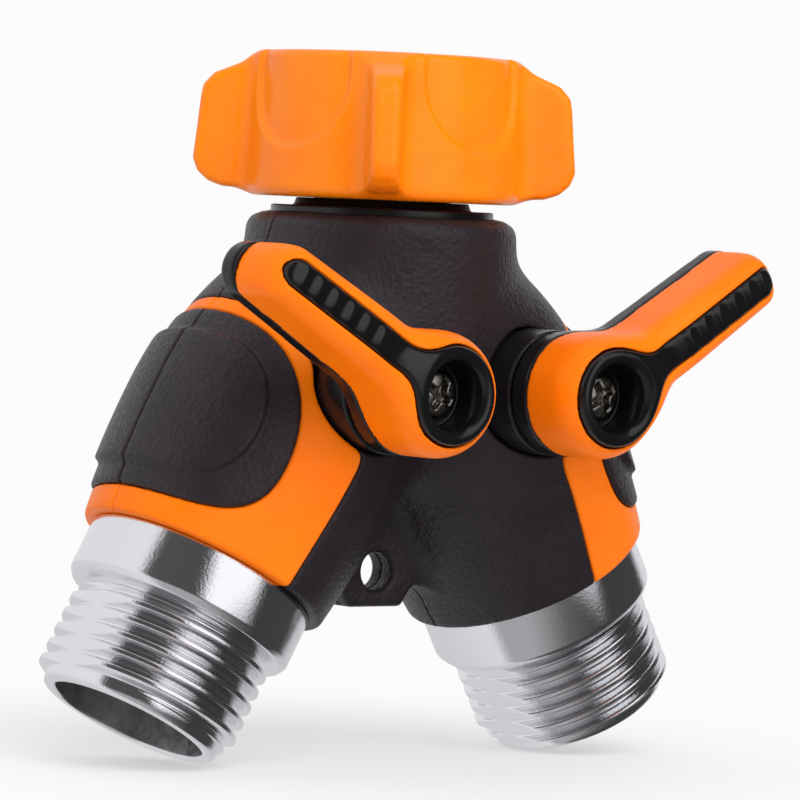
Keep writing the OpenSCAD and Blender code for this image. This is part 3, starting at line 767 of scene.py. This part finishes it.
def lever_insert(q):
    along, across, forward = q
    outer = lever_outer(q)
    window = soft_step((along - 12.2) / 1.5) * soft_step((29.4 - along) / 1.2)
    waves = 0.5 + 0.5 * np.cos((along - 14) * 2 * math.pi / 2.9)
    ridges = 0.26 * window * waves * (1 - np.clip(across / STRIP_HALF, -1, 1) ** 4)
    f = smooth_max(outer - 0.06 - ridges, insert_outline(q) + 0.06, 0.55)
    radius = np.hypot(along, across)
    barrel_back = np.maximum(WELL_FLOOR + 0.05 - forward, radius - FACE_R + 0.06)
    f = np.maximum(f, np.minimum(-(outer + STRIP_DEPTH - 0.06), barrel_back))
    pocket = np.maximum(radius - POCKET_R, POCKET_FLOOR - forward)
    return np.maximum(smooth_max(f, -pocket, 2.2), INSERT_HOLE_R - radius)


def lever_plate(q):
    along, across, forward = q
    plan = smooth_min(np.hypot(along, across) - HUB_R - 0.05, arm_plan(along, across), 3.6)
    back = np.where(np.hypot(along, across) < HUB_R, PLATE_BACK, PLATE_BACK + 0.5)
    f = smooth_max(plan, np.maximum(forward - PLATE_FRONT + 0.05, back - forward), 0.5)
    return np.maximum(f, STEM_HOLE_HALF - np.maximum(np.abs(along), np.abs(across)))


def lever_screw(q):
    """Pan head with a worn cross recess, on its shank."""
    along, across, forward = q
    radius = np.hypot(along, across)
    top = POCKET_FLOOR + SCREW_HEAD_RISE
    head = smooth_max(radius - SCREW_HEAD_R, forward - top + 0.06 * radius ** 2, 0.9)
    head = np.maximum(head, POCKET_FLOOR - forward)
    arms = smooth_min(np.abs(along), np.abs(across), 0.9) - 0.42
    recess = np.maximum(np.maximum(arms, radius - 2.1 + 0.5 * (top - forward)), top - 1.3 - forward)
    head = smooth_max(head, -recess, 0.3)
    ends = np.maximum(SCREW_END - forward, forward - POCKET_FLOOR - 0.1)
    return np.minimum(head, np.maximum(radius - SCREW_R, ends))


def build_levers():
    pieces = {
        "lever_shell": (lever_shell, (-9, -9, 24), (34, 9, 35), 0.3),
        "lever_insert": (lever_insert, (-8, -8, 26.5), (31, 8, 35), 0.26),
        "lever_plate": (lever_plate, (-9, -9, 21), (34, 9, 25.2), 0.35),
        "lever_screw": (lever_screw, (-4, -4, 18.4), (4, 4, 31.5), 0.2),
    }
    for kind, (field, low, high, step) in pieces.items():
        vertices, faces = field_mesh(field, low, high, step)
        for name, side in SIDES.items():
            placed = place_on_stem(vertices, faces, side, math.radians(-OVERTRAVEL[name]))
            make_piece(f"{name}_{kind}_form", *placed, f"{name}_{kind}")


def build_gland_rings():
    profile = [(15.5, 6.1, 0.1), (15.5, 8.15, 0.2), (21.2, 8.15, 0.45), (21.2, 7.75, 0.15),
               (19.6, 7.7, 0.1), (19.6, 6.4, 0.1), (21.2, 6.3, 0.15), (21.2, 3.9, 0.1),
               (20.85, 3.9, 0.1), (20.85, 6.1, 0.1)]
    ring = lathe(rounded(profile), columns=96)
    for name, side in SIDES.items():
        make_piece(name + "_gland_form", *place_on_stem(*ring, side), name + "_gland_ring")


# ------------------------------------------------------------------ studio


def add_object(name, data, place=(0, 0, 0)):
    thing = bpy.data.objects.new(name, data)
    bpy.context.collection.objects.link(thing)
    thing.location = Vector(place) * MM
    return thing


def camera():
    """Long lens, a little left of the front and tilted a little to the right."""
    azimuth, elevation, roll = map(math.radians, CAMERA_TURNS)
    level = math.cos(elevation)
    back = Vector((math.sin(azimuth) * level, -math.cos(azimuth) * level, math.sin(elevation)))
    right = Vector((math.cos(azimuth), math.sin(azimuth), 0))
    up = back.cross(right)
    turned_right = right * math.cos(roll) + up * math.sin(roll)
    turned_up = up * math.cos(roll) - right * math.sin(roll)
    data = bpy.data.cameras.new("camera")
    data.lens = LENS
    data.clip_start = 0.01
    view = Matrix((turned_right, turned_up, back)).transposed().to_4x4()
    view.translation = Vector(CAMERA_PLACE) * MM
    thing = add_object("camera", data)
    thing.matrix_world = view
    bpy.context.scene.camera = thing


def floor():
    """Pale disc that meets the backdrop's white at its rim."""
    radius, columns = 1.2, 96
    height = cad_box[0][2]
    rings = [0.0, 0.05, 0.1, 0.2, 0.4, 0.8, radius]
    vertices = [(0, 0, height)]
    faces = []
    for i, r in enumerate(rings[1:]):
        for j in range(columns):
            angle = 2 * math.pi * j / columns
            vertices.append((r * math.cos(angle), r * math.sin(angle), height))
            a, b = 1 + (i - 1) * columns, 1 + i * columns
            k = (j + 1) % columns
            faces.append((0, b + j, b + k) if i == 0 else (a + j, b + j, b + k, a + k))
    mesh = bpy.data.meshes.new("floor")
    mesh.from_pydata(vertices, [], faces)
    thing = add_object("floor", mesh)
    finish = Finish("floor_paper", (0.86, 0.86, 0.86), 0.7)
    finish.relief(finish.noise(0.6, 3), 0.01, 0.2)
    tree, nodes = finish.material.node_tree, finish.nodes
    length = nodes.new("ShaderNodeVectorMath")
    length.operation = "LENGTH"
    tree.links.new(finish.place.outputs["Object"], length.inputs[0])
    fade = nodes.new("ShaderNodeMapRange")
    fade.interpolation_type = "SMOOTHSTEP"
    fade.inputs["From Min"].default_value = 0.05
    fade.inputs["From Max"].default_value = 0.14
    tree.links.new(length.outputs["Value"], fade.inputs["Value"])
    glow = nodes.new("ShaderNodeEmission")
    glow.inputs["Color"].default_value = (BACKDROP, BACKDROP, BACKDROP, 1)
    mix = nodes.new("ShaderNodeMixShader")
    tree.links.new(fade.outputs["Result"], mix.inputs["Fac"])
    tree.links.new(finish.shader.outputs["BSDF"], mix.inputs[1])
    tree.links.new(glow.outputs["Emission"], mix.inputs[2])
    tree.links.new(mix.outputs["Shader"], nodes["Material Output"].inputs["Surface"])
    mesh.materials.append(finish.material)
    thing.visible_glossy = False


def wall_ramp(tree, share, stops):
    """Brightness of the walls round the compass, from pairs (degrees, light)."""
    walls = tree.nodes.new("ShaderNodeValToRGB")
    ramp = walls.color_ramp
    ramp.elements[0].position, ramp.elements[1].position = 0, 1
    for degrees, _ in stops[1:-1]:
        ramp.elements.new((degrees + 180) / 360)
    for element, (_, light) in zip(ramp.elements, stops):
        element.color = (light, light, light * 1.03, 1)
    tree.links.new(share.outputs["Result"], walls.inputs["Fac"])
    return walls


def studio_walls():
    """White room with dark screens, seen only in reflections, and a plain white backdrop."""
    world = bpy.data.worlds.new("studio")
    bpy.context.scene.world = world
    world.use_nodes = True
    tree, nodes = world.node_tree, world.node_tree.nodes
    background = nodes["Background"]
    direction = nodes.new("ShaderNodeTexCoord")
    parts = nodes.new("ShaderNodeSeparateXYZ")
    tree.links.new(direction.outputs["Generated"], parts.inputs[0])
    angle = nodes.new("ShaderNodeMath")
    angle.operation = "ARCTAN2"
    tree.links.new(parts.outputs["Y"], angle.inputs[0])
    tree.links.new(parts.outputs["X"], angle.inputs[1])
    share = nodes.new("ShaderNodeMapRange")
    share.inputs["From Min"].default_value = -math.pi
    share.inputs["From Max"].default_value = math.pi
    tree.links.new(angle.outputs["Value"], share.inputs["Value"])
    high = wall_ramp(tree, share, ((0, 0.88), (-176, 0.88), (-171, 0.09), (-107, 0.08),
                                   (-103, 1.15), (-60, 1.15), (-56, 0.05), (6, 0.06), (14, 0.8),
                                   (180, 0.88)))
    low = wall_ramp(tree, share, ((0, 0.82), (-177, 0.82), (-171, 0.42), (-128, 0.42), (-92, 0.13),
                                  (-60, 0.05), (0, 0.06), (14, 0.6), (180, 0.82)))
    level = nodes.new("ShaderNodeMapRange")
    level.inputs["From Min"].default_value = -0.22
    level.inputs["From Max"].default_value = 0.12
    tree.links.new(parts.outputs["Z"], level.inputs["Value"])
    walls = nodes.new("ShaderNodeMix")
    walls.data_type = "RGBA"
    tree.links.new(level.outputs["Result"], walls.inputs["Factor"])
    tree.links.new(low.outputs["Color"], walls.inputs[6])
    tree.links.new(high.outputs["Color"], walls.inputs[7])
    tree.links.new(walls.outputs[2], background.inputs["Color"])
    background.inputs["Strength"].default_value = 1.0
    plain = nodes.new("ShaderNodeBackground")
    plain.inputs["Color"].default_value = (BACKDROP, BACKDROP, BACKDROP, 1)
    ray = nodes.new("ShaderNodeLightPath")
    mix = nodes.new("ShaderNodeMixShader")
    tree.links.new(ray.outputs["Is Camera Ray"], mix.inputs["Fac"])
    tree.links.new(background.outputs["Background"], mix.inputs[1])
    tree.links.new(plain.outputs["Background"], mix.inputs[2])
    tree.links.new(mix.outputs["Shader"], nodes["World Output"].inputs["Surface"])


def softbox(name, place, size, watts):
    """An area light aimed at the splitter and left out of reflections."""
    data = bpy.data.lights.new(name, "AREA")
    data.shape = "RECTANGLE"
    data.size, data.size_y = size
    data.energy = watts
    thing = add_object(name, data, place)
    aim = Vector(LIGHT_AIM) - Vector(place)
    thing.rotation_euler = aim.to_track_quat("-Z", "Y").to_euler()
    thing.visible_glossy = False


def lights():
    softbox("key", (-150, -420, 420), (0.5, 0.3), 2.4)
    softbox("front_fill", (-300, -420, 60), (0.5, 0.5), 1.0)
    softbox("right_fill", (420, -260, 120), (0.3, 0.5), 0.7)


bpy.context.scene.view_settings.view_transform = "Standard"
camera()
studio_walls()
lights()
floor()
build_inlet()
build_cover()
build_nozzles()
build_levers()
build_gland_rings()
for node, thing in frame["nodes"].items():
    paint(thing, slot_of(node))
